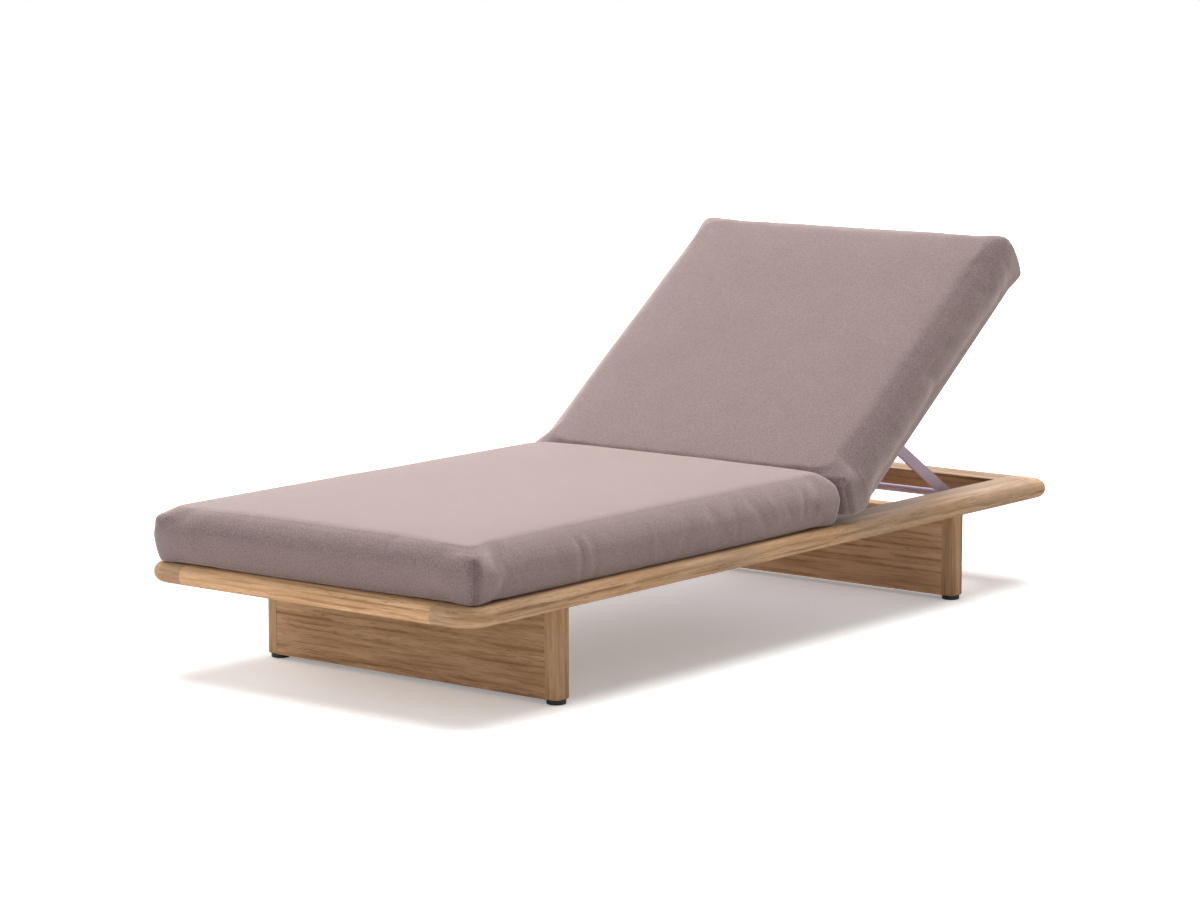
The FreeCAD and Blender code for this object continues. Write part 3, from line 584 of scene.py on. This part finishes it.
def sewAndCrease(piece, pad):
    # corner seams with a short arm to each side at their top, soft folds along the sides, slight unevenness
    mesh = piece.data
    points, normals = readPoints(mesh), readPoints(mesh, "normal")
    flat = np.empty(3 * len(mesh.vertices), dtype=np.float32)
    mesh.attributes["flatPlace"].data.foreach_get("vector", flat)
    flat = flat.reshape(-1, 3).astype(np.float64)
    middle, halfLength = middleAndHalf(pad)
    flat -= (0, middle, ringTop)
    depth = np.zeros(len(points))
    inset = seamInset * pad["cornerRadius"]
    cornerX, cornerY = pad["halfWidth"] - inset, halfLength - inset
    folded = np.abs(flat)
    across = (folded[:, 0] - cornerX) - (folded[:, 1] - cornerY)
    near = (folded[:, 0] > cornerX - stitch["zone"]) & (folded[:, 1] > cornerY - stitch["zone"])
    rise = flat[:, 2] - pad["seamTop"]
    width = pad["seamWidth"]
    below = 1 / (1 + np.exp(rise / (stitch["topSpread"] * width)))
    arm = np.exp(-(across / (stitch["armSpread"] * pad["seamArm"])) ** 4)
    depth += near * pad["seamDepth"] * np.exp(-(across / (stitch["spread"] * width)) ** 2) * below
    depth += near * stitch["armDepth"] * pad["seamDepth"] * np.exp(-(rise / width) ** 2) * arm
    lip = np.exp(-((np.abs(across) - stitch["lipPlace"]) / stitch["lipWidth"]) ** 2)
    depth -= near * pad["lips"] * lip * below

    creases = []
    for (x0, y0, z0), (x1, y1, z1), size, deep in pad["creases"]:
        creases.append(((x0, y0 - middle, z0), (x1, y1 - middle, z1), size, deep))
    chance = random.Random(pad["foldSeed"])
    draw = looseFolds
    for i in range(pad["folds"]):
        side = (1, -1)[i % 2]
        y = chance.uniform(-draw["sideReach"], draw["sideReach"]) * halfLength
        slant = chance.uniform(*draw["slant"])
        top = chance.uniform(*draw["top"]) * pad["height"]
        foot = chance.uniform(*draw["foot"]) * pad["height"]
        deep = chance.choice((1, 1, draw["ridge"])) * chance.uniform(*draw["strength"]) * pad["foldDepth"]
        x = side * pad["halfWidth"]
        creases.append(((x, y, top), (x, y + slant, foot), chance.uniform(*draw["width"]), deep))
        if i % 4 == 0:          # every fourth one has a fold across an end beside it
            x = chance.uniform(-draw["endReach"], draw["endReach"]) * pad["halfWidth"]
            y = (1, -1)[(i // 4) % 2] * halfLength
            size = chance.uniform(*draw["endWidth"])
            creases.append(((x, y, top), (x + slant, y, foot), size, draw["endShare"] * deep))
    for start, end, size, deep in creases:
        depth += deep * np.exp(-(alongSegment(flat, start, end) / size) ** 2)

    drift = np.array([noise.noise(Vector(p) * cover["unevenScale"]) for p in flat])
    depth += cover["unevenDepth"] * drift * np.clip(flat[:, 2] / cover["unevenFrom"], 0, 1)
    points -= normals * depth[:, None]
    points[:, 2] = np.maximum(points[:, 2], ringTop + cover["footGap"])
    writePoints(mesh, points)


def makePad(pad, tilt, material, body):
    # modelled flat, then turned about the hinge to where it rests
    piece = padBlank(pad)
    inflate(piece, pad)
    sewAndCrease(piece, pad)
    for face in piece.data.polygons:
        face.use_smooth = True
    if tilt:
        turn = Matrix.Translation(hingePoint) @ Matrix.Rotation(tilt, 4, "X") @ Matrix.Translation(-hingePoint)
        piece.data.transform(turn)
    piece.data.materials.append(material)
    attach(piece, body)
    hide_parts(pad["node"])
    print(pad["name"], "done")


# camera, floor and light

cameraPlace = {"lens": 109.9, "place": (4.6154, -5.9236, 1.4783), "turn": (81.62, 0.0, 38.39)}
lighting = {
    "world": 0.34,
    "floorColour": (231, 230, 228), "seenFloor": (252, 252, 252), "floorSize": 40.0,
    "floorLift": 0.24, "liftNear": 1.7, "liftFar": 4.5, "lampDistance": 4,
    "suns": {       # strength, where it comes from, apparent size in degrees, what it lights
        "key": (3.05, (-0.05, 0.44, 0.90), 36.0, "object"),
        "back": (1.30, (-0.50, 0.78, 0.34), 60.0, "object"),
        "frontFill": (1.15, (-0.35, -0.85, 0.38), 70.0, "both"),
        "leftFill": (1.20, (-0.90, 0.15, 0.33), 45.0, "both"),
        "overFloor": (2.70, (0.03, 0.02, 1.00), 40.0, "floor"),
    },
}


def makeCamera():
    data = bpy.data.cameras.new("camera")
    data.sensor_width = 36.0
    data.lens = cameraPlace["lens"]
    camera = bpy.data.objects.new("camera", data)
    camera.location = cameraPlace["place"]
    camera.rotation_euler = [math.radians(a) for a in cameraPlace["turn"]]
    scene.collection.objects.link(camera)
    scene.camera = camera


def sunLight(name, strength, origin, angle, lights, floor):
    data = bpy.data.lights.new(name, "SUN")
    data.energy = strength
    data.angle = math.radians(angle)
    light = bpy.data.objects.new(name, data)
    light.location = Vector(origin) * lighting["lampDistance"]
    light.rotation_euler = (-Vector(origin)).to_track_quat("-Z", "Y").to_euler()
    scene.collection.objects.link(light)
    if lights != "both":        # the floor has a lamp of its own, so that its shadow lies straight below
        receivers = bpy.data.collections.new(name + "Receivers")
        receivers.objects.link(floor)
        light.light_linking.receiver_collection = receivers
        receivers.collection_objects[0].light_linking.link_state = "INCLUDE" if lights == "floor" else "EXCLUDE"


def makeStudio():
    world = bpy.data.worlds.new("studio")
    scene.world = world
    world.use_nodes = True
    tree = world.node_tree
    tree.nodes.clear()
    output = tree.nodes.new("ShaderNodeOutputWorld")
    rays = tree.nodes.new("ShaderNodeLightPath")        # full strength for camera, glossy and glass rays
    strength = tree.nodes.new("ShaderNodeMapRange")
    strength.inputs["To Max"].default_value = 1.0
    strength.inputs["To Min"].default_value = lighting["world"]
    total = tree.nodes.new("ShaderNodeMath")
    total.operation = "MAXIMUM"
    glossy = tree.nodes.new("ShaderNodeMath")
    glossy.operation = "MAXIMUM"
    tree.links.new(rays.outputs["Is Camera Ray"], total.inputs[0])
    tree.links.new(rays.outputs["Is Glossy Ray"], glossy.inputs[0])
    tree.links.new(rays.outputs["Is Transmission Ray"], glossy.inputs[1])
    tree.links.new(glossy.outputs[0], total.inputs[1])
    tree.links.new(total.outputs[0], strength.inputs["Value"])
    background = tree.nodes.new("ShaderNodeBackground")
    background.inputs["Color"].default_value = (1, 1, 1, 1)
    tree.links.new(strength.outputs[0], background.inputs["Strength"])
    tree.links.new(background.outputs[0], output.inputs["Surface"])

    bm = bmesh.new()
    bmesh.ops.create_grid(bm, x_segments=1, y_segments=1, size=lighting["floorSize"])
    mesh = bpy.data.meshes.new("floor")
    bm.to_mesh(mesh)
    bm.free()
    floor = bpy.data.objects.new("floor", mesh)
    scene.collection.objects.link(floor)
    s = Shader("paleFloor")
    path = s.tree.nodes.new("ShaderNodeLightPath")
    away = s.add("VectorMath", {0: s.coords()}, "Value", operation="LENGTH")
    lift = s.ramp(away, lighting["liftNear"], lighting["liftFar"], lighting["floorLift"], 1.0)
    lit = s.add("BsdfDiffuse", {"Color": linear(lighting["floorColour"])})
    seen = s.add("AddShader", {0: s.add("BsdfDiffuse", {"Color": linear(lighting["seenFloor"])}),
                               1: s.add("Emission", {"Strength": lift})})
    both = s.add("MixShader", {0: path.outputs["Is Camera Ray"], 1: lit, 2: seen})
    s.tree.links.new(both, s.output.inputs["Surface"])
    floor.data.materials.append(s.material)

    for name, (strength, origin, angle, lights) in lighting["suns"].items():
        sunLight(name, strength, origin, angle, lights, floor)
    print("floor and lights placed")


makeCamera()
makeStudio()
dressFrame()
makePad(seatPad, 0, makeFabric("seatFabric", seatPad), "root")
makePad(backPad, restAngle, makeFabric("backFabric", backPad), "backrest")
